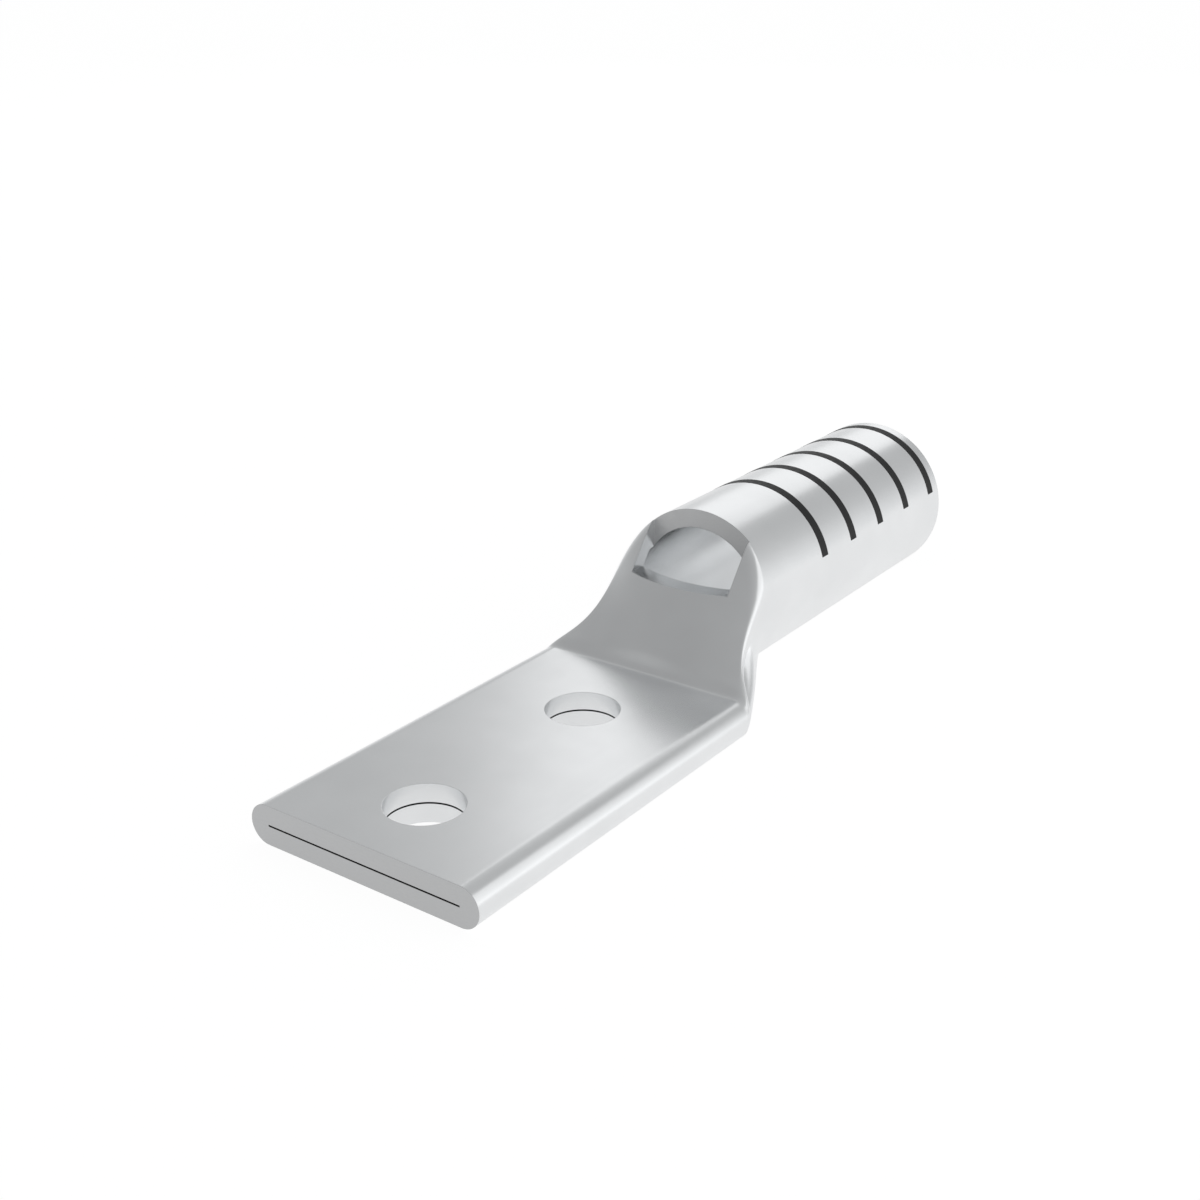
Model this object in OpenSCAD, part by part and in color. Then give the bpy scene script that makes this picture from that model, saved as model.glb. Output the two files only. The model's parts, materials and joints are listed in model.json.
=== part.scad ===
// Two-hole compression lug: one copper tube, round at the cable end and pressed
// flat at the bolting end, with a sight window where the ramp meets the barrel.
// The origin lies midway between the stud holes, on the underside of the pad.
// +X runs from the pad to the barrel and +Z is up.

/* [Tube] */
// Outer diameter of the barrel
tube_od = 34.4; // [32:0.1:38]
// Wall of the tube, so the pad is two walls thick
wall = 3.8; // [3:0.1:4.4]
// Length of the round barrel, from the sight window to the cable end
barrel_len = 75.6; // [70:0.1:110]
// Height of the barrel's lowest line above the underside of the pad
barrel_lift = 1.1; // [0:0.1:4]

/* [Pad] */
// Width of the pad over its rounded sides
pad_w = 49.9; // [44:0.1:60]
// Distance between the centres of the two stud holes
stud_spacing = 44.45; // [38:0.05:60]
// Diameter of each stud hole
stud_hole_d = 14.3; // [9:0.1:17]
// Distance from the end of the pad to the centre of the nearer hole
end_margin = 15.85; // [12:0.05:24]
// Distance from the centre of the inner hole to the bend at the foot of the ramp
bend_margin = 19; // [14:0.1:30]
// Gap left between the two pressed walls
seam_gap = 0.16; // [0.1:0.02:0.4]

/* [Transition] */
// Length of the ramp along X, from the bend to the sight window
ramp_len = 21.2; // [18:0.1:30]
// Half of the angle at the crown of the tube that becomes the flat face of the pad
crown_angle = 45; // [38:1:50]
// How late the tube's lowest line spreads to the width of the pad, evenly at 1
low_flare = 1.2; // [1:0.1:1.5]
// How late the tube's crown spreads to the width of the pad
crown_flare = 12; // [8:0.5:14]
// How long the crown keeps its height before the ramp falls away
crown_rise = 1.05; // [1:0.05:1.3]
// How much longer than the crown the tube's sides keep their height
side_rise = 0.6; // [0.3:0.1:0.8]
// Width of the sight window
window_w = 22.7; // [16:0.1:24]
// Height of the window's lower edge above the underside of the pad
window_sill = 22.3; // [20.5:0.1:25]

/* [Crimp bands] */
// Number of printed bands
band_count = 5; // [2:1:5]
// Width of one band
band_w = 2; // [1:0.1:3]
// Distance from the sight window to the centre of the first band
band_start = 22; // [16:0.1:24]
// Distance from the centre of the last band to the cable end
band_end = 3.8; // [2:0.1:10]
// Angle of a band to each side of the top of the barrel
band_half_angle = 75; // [40:1:85]
// Thickness of the printed ink
ink_t = 0.06; // [0.04:0.01:0.1]

/* [Hidden] */
tube_r = tube_od / 2;
bore_r = tube_r - wall;
axis_z = barrel_lift + tube_r;
pad_t = 2 * wall;
edge_r = pad_t / 2;
flat_half = pad_w / 2 - edge_r;
pad_start_x = -stud_spacing / 2 - end_margin;
bend_x = stud_spacing / 2 + bend_margin;
barrel_x = bend_x + ramp_len;
barrel_end_x = barrel_x + barrel_len;
// The hollow closes one wall past the bend, so the ramp keeps its full wall
hollow_x = bend_x + wall;
// Half of the height that the hollow still has where the seam begins
throat_r = wall / 6;
seam_half = flat_half + seam_gap;
band_pitch = (barrel_len - band_start - band_end) / (band_count - 1);
// Stations along the ramp, and points round each of its sections and each circle
ramp_steps = 9;
ring_points = 60;
over = 1;
// Step by which the ramp's flat-sided ends stay clear of the round edges they meet
clear_step = 0.02;

// Point on a circle of radius r, as [y, z] from its centre
function round_point(a, r) = [r * cos(a), r * sin(a)];

// Signed share of the flat's half length that the crown angle a has reached
function crown_share(a) = cos(a) / sin(crown_angle);

// Angle round a pad's rounded side for the angle a round the tube
function side_angle(a) = a * 90 / (90 - crown_angle);

// Point of the pressed section for the angle a round the tube, from -90 to 270
function pressed_point(a, half, r) =
    abs(a - 90) <= crown_angle ? [half * crown_share(a), r]
    : abs(a + 90) <= crown_angle || abs(a - 270) <= crown_angle ? [half * crown_share(a), -r]
    : a < 90 ? [half + r * cos(side_angle(a)), r * sin(side_angle(a))]
    : [-half - r * cos(side_angle(180 - a)), r * sin(side_angle(180 - a))];

// Share of the way from the lowest line of the tube, 0, to its crown, 1
function height_share(a) = (1 + sin(a)) / 2;

// Share of its way out that the point at angle a has gone, at share s of the ramp
function spread(s, a) =
    let (late = min(crown_flare, low_flare + 4 * crown_flare * pow(height_share(a), 4)))
    1 - pow(1 - pow(s, late), 2);

// Share of its way down that the point at angle a has gone, at share s of the ramp
function descent(s, a) = pow(s, crown_rise + 2 * side_rise * (1 - height_share(a)));

// Section at share s of the way from the round tube, s = 0, to the flat, s = 1
function blend_section(s, x, round_r, half, r) = [
    for (i = [0 : ring_points - 1])
        let (a = -90 + i * 360 / ring_points,
             out = spread(s, a),
             down = descent(s, a),
             round = round_point(a, round_r),
             pressed = pressed_point(a, half, r))
        [x,
         (1 - out) * round[0] + out * pressed[0],
         (1 - down) * (axis_z + round[1]) + down * (edge_r + pressed[1])]
];

// End face of a section as upright strips, each between a point and the one below it
function end_strips(first) = [
    for (side = [0, ring_points / 2])
        for (i = [0 : ring_points / 4 - 1])
            let (a = side + i,
                 b = (ring_points * 3 / 2 - a) % ring_points,
                 c = (b + ring_points - 1) % ring_points)
            a + 1 == c ? [first + a, first + a + 1, first + b]
            : [first + a, first + a + 1, first + c, first + b]
];

// The same faces seen from the other side
function turned(faces) = [for (f = faces) [for (i = [len(f) - 1 : -1 : 0]) f[i]]];

// Solid through a list of sections of ring_points points, which run towards the pad
module loft(sections) {
    last = len(sections) - 1;
    polyhedron(
        points = [for (s = sections) each s],
        faces = [
            each turned(end_strips(0)),
            each end_strips(last * ring_points),
            for (k = [0 : last - 1])
                for (i = [0 : ring_points - 1])
                    let (j = (i + 1) % ring_points,
                         a = k * ring_points,
                         b = a + ring_points)
                    each [[a + i, b + j, b + i], [a + i, a + j, b + j]]
        ],
        convexity = 6
    );
}

// Tapering body between the round tube and the pad
module ramp_body(round_r, half, r, end_x) {
    loft([
        for (k = [0 : ramp_steps])
            let (s = k / ramp_steps)
            blend_section(s, barrel_x + s * (end_x - barrel_x), round_r, half, r)
    ]);
}

// Flat section with fully rounded sides, drawn in the YZ plane and run along X
module flat_run(x0, x1, half, r) {
    translate([x0, 0, edge_r])
        rotate([90, 0, 90])
            linear_extrude(x1 - x0) {
                square([2 * half, 2 * r], center = true);
                for (side = [-1, 1])
                    translate([side * half, 0]) circle(r, $fn = ring_points);
            }
}

// Round run along the barrel's axis
module round_run(x0, x1, r) {
    translate([x0, 0, axis_z])
        rotate([0, 90, 0])
            cylinder(h = x1 - x0, r = r, $fn = ring_points);
}

// Gap between the pressed walls, open at the end of the pad
module seam() {
    translate([pad_start_x - over, -seam_half, edge_r - seam_gap / 2])
        cube([hollow_x + seam_gap - pad_start_x + over, 2 * seam_half, seam_gap]);
}

// Stud holes through both walls of the pad
module stud_holes() {
    for (side = [-1, 1])
        translate([side * stud_spacing / 2, 0, -over])
            cylinder(h = pad_t + 2 * over, d = stud_hole_d, $fn = ring_points);
}

// Box that opens the crown of the ramp against the round barrel
module sight_window() {
    translate([bend_x, -window_w / 2, window_sill])
        cube([ramp_len, window_w, tube_od]);
}

// Pressed end with its stud holes
module pad() {
    difference() {
        flat_run(pad_start_x, bend_x, flat_half, edge_r);
        seam();
        stud_holes();
    }
}

// Hollow ramp, opened by the sight window
module ramp() {
    hollow_r = bore_r / cos(180 / ring_points) + clear_step;
    difference() {
        ramp_body(tube_r - clear_step, flat_half, edge_r - clear_step, bend_x);
        ramp_body(hollow_r, flat_half - throat_r, throat_r, hollow_x);
        seam();
        sight_window();
    }
}

// Round end that takes the cable
module barrel() {
    difference() {
        round_run(barrel_x, barrel_end_x, tube_r);
        round_run(barrel_x - over, barrel_end_x + over, bore_r);
    }
}

module lug() {
    color("silver") {
        pad();
        ramp();
        barrel();
    }
}

// One printed band, a thin strip that lies on the barrel
module crimp_band(x) {
    translate([x - band_w / 2, 0, axis_z])
        rotate([90 - band_half_angle, 0, 0])
            rotate([90, 0, 90])
                rotate_extrude(angle = 2 * band_half_angle, $fn = ring_points)
                    translate([tube_r, 0]) square([ink_t, band_w]);
}

module crimp_bands() {
    color("black")
    for (i = [0 : band_count - 1])
        crimp_band(barrel_x + band_start + i * band_pitch);
}

lug();
crimp_bands();
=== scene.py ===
"""Compression lug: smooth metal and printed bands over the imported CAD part."""

import json
import math

import bmesh
import bpy
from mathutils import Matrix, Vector


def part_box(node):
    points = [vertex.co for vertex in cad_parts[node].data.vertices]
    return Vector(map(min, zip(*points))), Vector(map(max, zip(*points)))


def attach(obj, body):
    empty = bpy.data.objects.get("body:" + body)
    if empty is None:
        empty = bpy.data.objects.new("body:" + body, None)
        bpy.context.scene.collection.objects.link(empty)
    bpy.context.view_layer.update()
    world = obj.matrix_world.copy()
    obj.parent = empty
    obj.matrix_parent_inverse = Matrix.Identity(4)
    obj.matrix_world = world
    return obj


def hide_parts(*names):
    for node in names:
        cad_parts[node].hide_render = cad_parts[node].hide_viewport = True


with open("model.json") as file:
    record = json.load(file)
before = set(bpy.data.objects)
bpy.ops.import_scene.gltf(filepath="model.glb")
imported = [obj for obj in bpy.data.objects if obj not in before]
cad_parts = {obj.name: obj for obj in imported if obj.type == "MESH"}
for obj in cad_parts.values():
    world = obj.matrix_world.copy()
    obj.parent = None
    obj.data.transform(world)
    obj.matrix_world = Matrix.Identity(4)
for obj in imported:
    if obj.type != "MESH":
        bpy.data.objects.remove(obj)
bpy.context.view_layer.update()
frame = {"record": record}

MM = 0.001

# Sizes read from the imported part
lug_low, lug_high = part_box("lug")
band_low, band_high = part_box("crimp_bands")
mounts = {m["name"]: m for m in frame["record"]["mounts"]}
bore = mounts["wire_bore"]
studs = mounts["stud_holes"]["dims"]
bore_r = bore["dims"]["r_mm"] * MM
bore_len = bore["dims"]["length_mm"] * MM
axis_z = bore["pos_m"][2]
barrel_x = bore["pos_m"][0] - bore_len / 2
barrel_end_x = lug_high.x
tube_r = lug_high.z - axis_z
wall = tube_r - bore_r
pad_t = 2 * wall
edge_r = wall
pad_start_x = lug_low.x
flat_half = (lug_high.y - lug_low.y) / 2 - edge_r
hole_r = studs["hole_r_mm"] * MM
stud_half = studs["spacing_x_mm"] * MM / 2

# Sizes of the ramp and the window, as in the part's source
ramp_len = 21.2 * MM
crown_angle = 45
window_w = 22.7 * MM
window_sill = 22.3 * MM
bend_x = barrel_x - ramp_len
hollow_x = bend_x + wall
throat_r = wall / 6

# How late the sides spread out and how long they keep their height, as powers of the
# share of the ramp: low for the tube's lowest line, crown for its crown
low_flare = 1.2
side_flare = 3.5
crown_rise = 1.05
side_rise = 0.5
side_hold = 6

# Form of the pressed face, finer than in the CAD solid: it bows in plan with face_r,
# straightens over the last bend_share and meets the sides in a soft shoulder
face_r = 26 * MM
bend_share = 0.5
shoulder = 5 * MM

# Width of the seam's dark line as photographed, a little wider than in the CAD solid
seam_gap = 0.31 * MM

# Printed bands, each a little wider than its CAD solid, as photographed
band_count = 5
cad_band_w = 2.0 * MM
band_w = 2.35 * MM
band_half_angle = 75
ink_t = 0.05 * MM

# Fineness of the smooth mesh, and small distances for its cuts
ring_points = 240
ramp_steps = 60
support = 0.6 * MM
over = 1.0 * MM
cut_clear = 0.02 * MM
plane_error = 0.01 * MM

# Radius of the edges that the shading softens
soft_edge = 0.12 * MM

# Camera found from the photograph's hole rims, pad outline and barrel
camera_place = (-0.200557, -0.165139, 0.143878)
camera_azimuth = 35.87
camera_elevation = -22.39
camera_lens = 49.353


def pressed_point(angle, half, radius):
    """Point of the pressed section for an angle round the tube, in degrees."""
    share = math.cos(math.radians(angle)) / math.sin(math.radians(crown_angle))
    if abs(angle - 90) <= crown_angle:
        return half * share, radius
    if abs(angle + 90) <= crown_angle or abs(angle - 270) <= crown_angle:
        return half * share, -radius
    side = 1 if angle < 90 else -1
    near = angle if side > 0 else 180 - angle
    turn = math.radians(near * 90 / (90 - crown_angle))
    return side * (half + radius * math.cos(turn)), radius * math.sin(turn)


def spread(share, height):
    """Share of its way out that a point has gone; height is 0 low and 1 at the crown."""
    late = low_flare + side_flare * min(1.0, (2 * height) ** 4)
    return 1 - (1 - share ** late) ** 2


def descent(share, height):
    """Share of its way down that a point has gone before the face is pressed in."""
    upper = max(0.0, height - 0.5)
    lower = max(0.0, 0.5 - height)
    slow = crown_rise + side_rise + 2 * side_rise * lower + 2 * side_hold * upper
    return 1 - (1 - share ** slow) ** (1 + side_hold * upper)


def face_height(share, y, length, top, foot):
    """Height of the bowed pressed face at a share of the ramp and a distance y out."""
    bow = y * y / (2 * face_r * length)
    reached = share + bow
    if reached > 1 - bend_share:
        wide = bend_share + 2 * bow
        left = 1 - share
        reached = 1 - 2 * bend_share * left / (wide + math.sqrt(wide ** 2 - 4 * bow * left))
    down = reached ** crown_rise
    return (1 - down) * top + down * foot


def lower_of(a, b, reach):
    """The lower of two heights, rounded off where they differ by less than reach."""
    near = max(reach - abs(a - b), 0.0) / reach
    return min(a, b) - near * near * reach / 4


def section(share, x, round_r, half, radius, length=ramp_len):
    """Ring of points from the round tube, share 0, to the flat pad, share 1."""
    points = []
    soft = shoulder * 4 * share * (1 - share)
    for i in range(ring_points):
        angle = -90 + i * 360 / ring_points
        turn = math.radians(angle)
        height = max(0.0, (1 + math.sin(turn)) / 2)
        out, down = spread(share, height), descent(share, height)
        y1, z1 = pressed_point(angle, half, radius)
        y = (1 - out) * round_r * math.cos(turn) + out * y1
        z = (1 - down) * (axis_z + round_r * math.sin(turn)) + down * (edge_r + z1)
        if 0 < share < 1:
            face = face_height(share, y, length, axis_z + round_r, edge_r + radius)
            z = lower_of(z, face, soft)
        points.append(Vector((x, y, z)))
    return points


def ramp_sections(round_r, half, radius, end_x):
    """Sections from the foot of the ramp up to the barrel."""
    shares = [1 - k / ramp_steps for k in range(ramp_steps + 1)]
    length = barrel_x - end_x
    return [section(s, barrel_x - s * length, round_r, half, radius, length) for s in shares]


def loft(name, rings):
    """Closed mesh through rings of equal length, from low X to high X."""
    bm = bmesh.new()
    rows = [[bm.verts.new(p) for p in ring] for ring in rings]
    count = len(rows[0])
    for low, high in zip(rows, rows[1:]):
        for i in range(count):
            j = (i + 1) % count
            bm.faces.new((low[i], low[j], high[j], high[i]))
    bm.faces.new(list(reversed(rows[0])))
    bm.faces.new(rows[-1])
    bmesh.ops.recalc_face_normals(bm, faces=bm.faces)
    return as_object(name, bm)


def as_object(name, bm):
    """Turns a bmesh into a linked object."""
    mesh = bpy.data.meshes.new(name)
    bm.to_mesh(mesh)
    bm.free()
    obj = bpy.data.objects.new(name, mesh)
    bpy.context.scene.collection.objects.link(obj)
    return obj


def box_cutter(low, high):
    """Box between two corners, for cutting."""
    bm = bmesh.new()
    bmesh.ops.create_cube(bm, size=1)
    low, high = Vector(low), Vector(high)
    size, middle = high - low, (low + high) / 2
    for v in bm.verts:
        v.co = Vector(a * b for a, b in zip(v.co, size)) + middle
    return as_object("cutter", bm)


def hole_cutter(x):
    """Upright cylinder through the pad at x, for cutting."""
    bm = bmesh.new()
    bmesh.ops.create_cone(bm, cap_ends=True, segments=ring_points, radius1=hole_r,
                          radius2=hole_r, depth=pad_t + 2 * over)
    for v in bm.verts:
        v.co += Vector((x, 0, edge_r))
    return as_object("cutter", bm)


def outer_skin():
    """The whole outside of the lug: pad, ramp and barrel."""
    flat = [section(1, x, tube_r, flat_half, edge_r)
            for x in (pad_start_x, bend_x - support)]
    round_end = [section(0, x, tube_r, flat_half, edge_r)
                 for x in (barrel_x + support, barrel_end_x)]
    return loft("lug_metal", flat + ramp_sections(tube_r, flat_half, edge_r, bend_x) + round_end)


def inner_hollow():
    """The inside of the ramp and barrel, open at the cable end."""
    rings = ramp_sections(bore_r, flat_half - throat_r, throat_r, hollow_x)
    rings.append(section(0, barrel_x + support, bore_r, flat_half, throat_r))
    rings.append(section(0, barrel_end_x + over, bore_r, flat_half, throat_r))
    return loft("cutter", rings)


def cut(obj, cutters):
    """Subtracts each cutter from obj and removes the cutters."""
    for cutter in cutters:
        step = obj.modifiers.new("cut", "BOOLEAN")
        step.operation = "DIFFERENCE"
        step.solver = "EXACT"
        step.object = cutter
        bpy.context.view_layer.update()
        graph = bpy.context.evaluated_depsgraph_get()
        made = bpy.data.meshes.new_from_object(obj.evaluated_get(graph))
        obj.modifiers.clear()
        obj.data = made
        bpy.data.objects.remove(cutter)
    return obj


def clean(obj, near=0.002 * MM):
    """Merges the points and slivers that the cuts leave on top of each other."""
    bm = bmesh.new()
    bm.from_mesh(obj.data)
    bmesh.ops.remove_doubles(bm, verts=bm.verts, dist=near)
    bmesh.ops.dissolve_degenerate(bm, edges=bm.edges, dist=near)
    bm.to_mesh(obj.data)
    bm.free()
    return obj


def lug_metal():
    """The lug's metal with its hollow, window, seam and stud holes."""
    window = box_cutter((bend_x, -window_w / 2, window_sill),
                        (barrel_x + cut_clear, window_w / 2, axis_z + 2 * tube_r))
    seam_half = flat_half - seam_gap / 2
    seam = box_cutter((pad_start_x - over, -seam_half, edge_r - seam_gap / 2),
                      (hollow_x + seam_gap, seam_half, edge_r + seam_gap / 2))
    holes = [hole_cutter(side * stud_half) for side in (-1, 1)]
    return clean(cut(outer_skin(), [inner_hollow(), window, seam, *holes]))


def paint_faces(obj):
    """Gives cut faces their duller material with painted shade, and the inside of the seam its
    near-black painted shade.
    """
    cuts = (pad_start_x, barrel_x + cut_clear, barrel_end_x)
    for face in obj.data.polygons:
        in_seam = abs(face.center.z - edge_r) < seam_gap / 2 + plane_error
        at_cut = min(abs(face.center.x - x) for x in cuts) < plane_error
        # painted shade: faces inside the seam get the near-black material
        if in_seam and abs(face.normal.z) > 0.9:
            face.material_index = 2
        # partly painted shade: cut end faces get the duller material with the darker base colour
        elif at_cut and abs(face.normal.x) > 0.99:
            face.material_index = 1


def smooth(obj, angle=28):
    """Smooth shading with sharp edges where faces meet at more than the angle."""
    for face in obj.data.polygons:
        face.use_smooth = True
    obj.data.set_sharp_from_angle(angle=math.radians(angle))


def ink_band(index, x):
    """One printed band: a thin curved strip lying on the barrel."""
    bm = bmesh.new()
    steps = 120
    rows = []
    for radius in (tube_r, tube_r + ink_t):
        for side in (-0.5, 0.5):
            row = []
            for k in range(steps + 1):
                turn = math.radians(90 + band_half_angle * (2 * k / steps - 1))
                row.append(bm.verts.new((x + side * band_w, radius * math.cos(turn),
                                         axis_z + radius * math.sin(turn))))
            rows.append(row)
    under_low, under_high, top_low, top_high = rows
    for a, b in ((top_low, top_high), (under_high, under_low),
                 (under_low, top_low), (top_high, under_high)):
        for k in range(steps):
            bm.faces.new((a[k], b[k], b[k + 1], a[k + 1]))
    for k in (0, steps):
        bm.faces.new((under_low[k], under_high[k], top_high[k], top_low[k]))
    bmesh.ops.recalc_face_normals(bm, faces=bm.faces)
    band = as_object(f"ink_band_{index}", bm)
    smooth(band)
    return band


def node_tree(name):
    """New material with its nodes, links and Principled shader."""
    material = bpy.data.materials.new(name)
    material.use_nodes = True
    tree = material.node_tree
    return material, tree.nodes, tree.links, tree.nodes["Principled BSDF"]


def noise(nodes, links, scale, detail=3.0, stretch=(1, 1, 1)):
    """Noise in object coordinates; scale counts features in a metre."""
    place = nodes.new("ShaderNodeTexCoord")
    mapping = nodes.new("ShaderNodeMapping")
    mapping.inputs["Scale"].default_value = stretch
    texture = nodes.new("ShaderNodeTexNoise")
    texture.inputs["Scale"].default_value = scale
    texture.inputs["Detail"].default_value = detail
    links.new(place.outputs["Object"], mapping.inputs["Vector"])
    links.new(mapping.outputs["Vector"], texture.inputs["Vector"])
    return texture.outputs["Fac"]


def ramp(nodes, links, value, low, high):
    """Maps noise of about 0.35 to 0.65 to the range low to high."""
    remap = nodes.new("ShaderNodeMapRange")
    remap.inputs["From Min"].default_value = 0.35
    remap.inputs["From Max"].default_value = 0.65
    remap.inputs["To Min"].default_value = low
    remap.inputs["To Max"].default_value = high
    links.new(value, remap.inputs["Value"])
    return remap.outputs["Result"]


def tone(nodes, links, value, dark, light):
    """Colour between two tones, chosen by noise."""
    share = ramp(nodes, links, value, 0, 1)
    mix = nodes.new("ShaderNodeMix")
    mix.data_type = "RGBA"
    mix.inputs["A"].default_value = (*dark, 1)
    mix.inputs["B"].default_value = (*light, 1)
    links.new(share, mix.inputs["Factor"])
    return mix.outputs["Result"]


def relief(nodes, links, height, depth, edge=0.0):
    """Bump of a given depth in metres, over edges rounded by the radius edge."""
    bump = nodes.new("ShaderNodeBump")
    bump.inputs["Strength"].default_value = 1.0
    bump.inputs["Distance"].default_value = depth
    links.new(height, bump.inputs["Height"])
    if edge:
        rounded = nodes.new("ShaderNodeBevel")
        rounded.samples = 8
        rounded.inputs["Radius"].default_value = edge
        links.new(rounded.outputs["Normal"], bump.inputs["Normal"])
    return bump.outputs["Normal"]


def plated_metal():
    """Smooth tin plating: satin, with faint clouds and faint drawing lines."""
    material, nodes, links, shader = node_tree("plated_metal")
    clouds = noise(nodes, links, 90)
    lines = noise(nodes, links, 900, stretch=(0.02, 1, 1))
    grain = noise(nodes, links, 5200, detail=2)
    links.new(tone(nodes, links, clouds, (0.85, 0.86, 0.868), (0.88, 0.89, 0.898)),
              shader.inputs["Base Color"])
    links.new(ramp(nodes, links, lines, 0.262, 0.270), shader.inputs["Roughness"])
    links.new(relief(nodes, links, grain, 0.00015 * MM, edge=soft_edge), shader.inputs["Normal"])
    shader.inputs["Metallic"].default_value = 1.0
    return material


def cut_metal():
    """Sawn faces under the same plating: duller, with a darker base colour that is painted shade
    on these end faces.
    """
    material, nodes, links, shader = node_tree("cut_metal")
    grain = noise(nodes, links, 2600, stretch=(1, 0.35, 1))
    # painted shade: base colour well below the plating's, darkening the end faces
    links.new(tone(nodes, links, grain, (0.54, 0.545, 0.55), (0.58, 0.585, 0.59)),
              shader.inputs["Base Color"])
    links.new(ramp(nodes, links, grain, 0.40, 0.50), shader.inputs["Roughness"])
    links.new(relief(nodes, links, grain, 0.001 * MM, edge=soft_edge), shader.inputs["Normal"])
    shader.inputs["Metallic"].default_value = 1.0
    return material


def seam_metal():
    """Near-black faces inside the pressed seam, as painted shade in the narrow slit."""
    material, nodes, links, shader = node_tree("seam_metal")
    grain = noise(nodes, links, 1500)
    # painted shade: near-black colour standing for the shadow in the slit
    links.new(tone(nodes, links, grain, (0.012, 0.011, 0.010), (0.022, 0.020, 0.018)),
              shader.inputs["Base Color"])
    shader.inputs["Roughness"].default_value = 0.9
    shader.inputs["Specular IOR Level"].default_value = 0.0
    return material


def band_ink():
    """Thin black printing ink with a slightly uneven coat."""
    material, nodes, links, shader = node_tree("band_ink")
    coat = noise(nodes, links, 1400)
    grain = noise(nodes, links, 9000, detail=2)
    links.new(tone(nodes, links, coat, (0.006, 0.0065, 0.007), (0.012, 0.0125, 0.013)),
              shader.inputs["Base Color"])
    links.new(ramp(nodes, links, coat, 0.45, 0.55), shader.inputs["Roughness"])
    shader.inputs["Specular IOR Level"].default_value = 0.3
    links.new(relief(nodes, links, grain, 0.002 * MM), shader.inputs["Normal"])
    return material


def floor_material():
    """White floor that keeps the shadow and glows for the camera and in reflections."""
    glow_share, mirror_share = 0.85, 0.8
    material, nodes, links, shader = node_tree("floor_white")
    shader.inputs["Base Color"].default_value = (0.9, 0.9, 0.9, 1)
    shader.inputs["Roughness"].default_value = 0.9
    shader.inputs["Specular IOR Level"].default_value = 0.0
    glow = nodes.new("ShaderNodeEmission")
    glow.inputs["Strength"].default_value = 1.1
    path = nodes.new("ShaderNodeLightPath")
    mirrored = nodes.new("ShaderNodeMath")
    mirrored.operation = "MULTIPLY"
    mirrored.inputs[1].default_value = mirror_share
    seen = nodes.new("ShaderNodeMath")
    seen.operation = "MAXIMUM"
    seen_all = nodes.new("ShaderNodeMath")
    seen_all.operation = "MAXIMUM"
    share = nodes.new("ShaderNodeMath")
    share.operation = "MULTIPLY"
    share.inputs[1].default_value = glow_share
    mix = nodes.new("ShaderNodeMixShader")
    links.new(path.outputs["Is Camera Ray"], seen.inputs[0])
    links.new(path.outputs["Is Glossy Ray"], mirrored.inputs[0])
    links.new(mirrored.outputs[0], seen.inputs[1])
    links.new(seen.outputs[0], seen_all.inputs[0])
    links.new(path.outputs["Is Transmission Ray"], seen_all.inputs[1])
    links.new(seen_all.outputs[0], share.inputs[0])
    links.new(share.outputs[0], mix.inputs["Fac"])
    links.new(shader.outputs["BSDF"], mix.inputs[1])
    links.new(glow.outputs["Emission"], mix.inputs[2])
    links.new(mix.outputs["Shader"], nodes["Material Output"].inputs["Surface"])
    return material


def floor():
    """Wide level floor just under the pad, clear of its underside."""
    bm = bmesh.new()
    bmesh.ops.create_grid(bm, x_segments=1, y_segments=1, size=30)
    plane = as_object("floor", bm)
    plane.location.z = -0.05 * MM
    plane.data.materials.append(floor_material())


def direction(azimuth, elevation):
    """Unit vector; azimuth turns from +X towards +Y, in degrees."""
    a, e = math.radians(azimuth), math.radians(elevation)
    return Vector((math.cos(a) * math.cos(e), math.sin(a) * math.cos(e), math.sin(e)))


def softbox(name, azimuth, elevation, width, height, brightness, distance=1.5):
    """Area light that faces the lug; width and height are angles seen from it."""
    light = bpy.data.lights.new(name, "AREA")
    light.shape = "RECTANGLE"
    light.size = 2 * distance * math.tan(math.radians(width / 2))
    light.size_y = 2 * distance * math.tan(math.radians(height / 2))
    light.energy = brightness * math.pi * light.size * light.size_y
    lamp = bpy.data.objects.new(name, light)
    bpy.context.scene.collection.objects.link(lamp)
    towards = direction(azimuth, elevation)
    lamp.location = towards * distance
    lamp.rotation_mode = "QUATERNION"
    lamp.rotation_quaternion = towards.to_track_quat("Z", "Y")
    lamp.visible_camera = False


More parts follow.
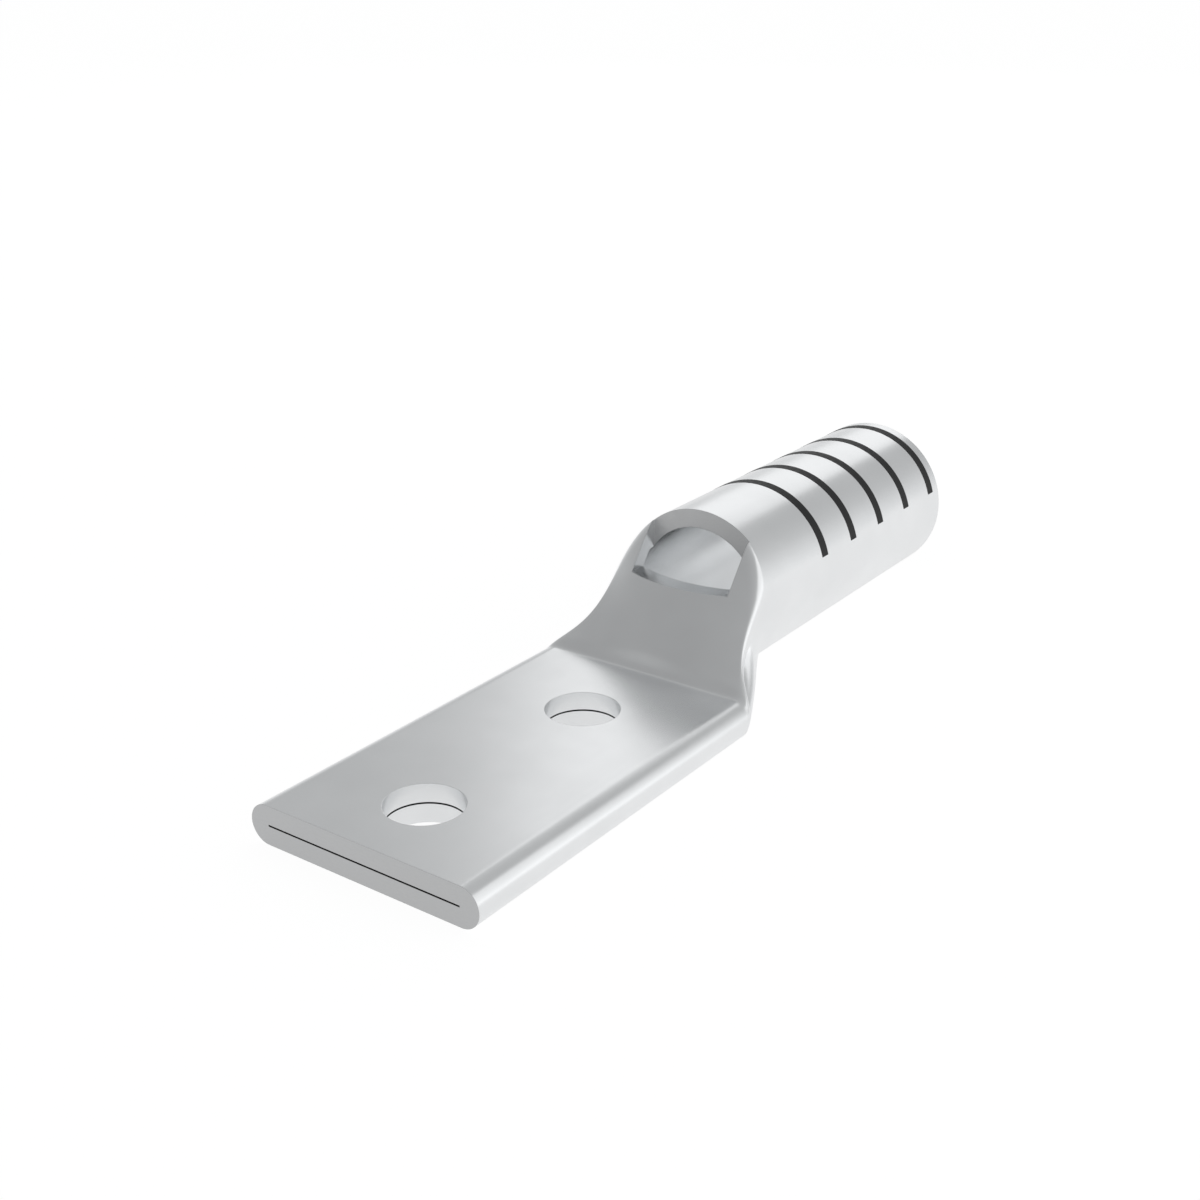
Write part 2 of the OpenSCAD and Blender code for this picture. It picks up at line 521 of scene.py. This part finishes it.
def studio_walls():
    """World that is pale at the horizon, greyer above, and darker on the left."""
    world = bpy.data.worlds.new("studio")
    bpy.context.scene.world = world
    world.use_nodes = True
    nodes, links = world.node_tree.nodes, world.node_tree.links
    place = nodes.new("ShaderNodeTexCoord")
    side = nodes.new("ShaderNodeVectorMath")
    side.operation = "DOT_PRODUCT"
    side.inputs[1].default_value = direction(150, 20)
    left = nodes.new("ShaderNodeMapRange")
    left.interpolation_type = "SMOOTHSTEP"
    left.inputs["From Min"].default_value = -0.2
    left.inputs["From Max"].default_value = 0.9
    left.inputs["To Min"].default_value = 1.0
    left.inputs["To Max"].default_value = 0.75
    parts = nodes.new("ShaderNodeSeparateXYZ")
    rise = nodes.new("ShaderNodeMapRange")
    rise.interpolation_type = "SMOOTHSTEP"
    rise.inputs["From Min"].default_value = 0.0
    rise.inputs["From Max"].default_value = 0.4
    rise.inputs["To Min"].default_value = 0.76
    rise.inputs["To Max"].default_value = 0.50
    level = nodes.new("ShaderNodeMath")
    level.operation = "MULTIPLY"
    links.new(place.outputs["Generated"], side.inputs[0])
    links.new(side.outputs["Value"], left.inputs["Value"])
    links.new(place.outputs["Generated"], parts.inputs[0])
    links.new(parts.outputs["Z"], rise.inputs["Value"])
    links.new(left.outputs["Result"], level.inputs[0])
    links.new(rise.outputs["Result"], level.inputs[1])
    links.new(level.outputs[0], nodes["Background"].inputs["Strength"])
    nodes["Background"].inputs["Color"].default_value = (0.985, 0.993, 1.0, 1)


def camera():
    """Camera that sees the lug as the photograph does."""
    data = bpy.data.cameras.new("camera")
    data.sensor_width = 36
    data.lens = camera_lens
    data.clip_start, data.clip_end = 0.01, 100
    eye = bpy.data.objects.new("camera", data)
    bpy.context.scene.collection.objects.link(eye)
    eye.location = camera_place
    eye.rotation_mode = "QUATERNION"
    towards = direction(camera_azimuth, camera_elevation)
    eye.rotation_quaternion = towards.to_track_quat("-Z", "Y")
    bpy.context.scene.camera = eye


def bands():
    """All printed bands, spaced over the CAD bands' box."""
    first = band_low.x + cad_band_w / 2
    pitch = (band_high.x - band_low.x - cad_band_w) / (band_count - 1)
    ink = band_ink()
    made = [ink_band(i, first + i * pitch) for i in range(band_count)]
    for band in made:
        band.data.materials.append(ink)
        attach(band, "root")
    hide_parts("crimp_bands")


def metal():
    """The lug's metal as one smooth piece in place of its CAD solid."""
    lug = lug_metal()
    lug.data.materials.clear()
    for material in (plated_metal(), cut_metal(), seam_metal()):
        lug.data.materials.append(material)
    paint_faces(lug)
    smooth(lug)
    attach(lug, "root")
    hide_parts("lug")


camera()
metal()
bands()
floor()
studio_walls()
softbox("softbox_back", azimuth=20, elevation=27, width=34, height=26, brightness=0.55)
softbox("softbox_right", azimuth=-63, elevation=23, width=50, height=44, brightness=0.5)
bpy.context.scene.view_settings.view_transform = "Standard"
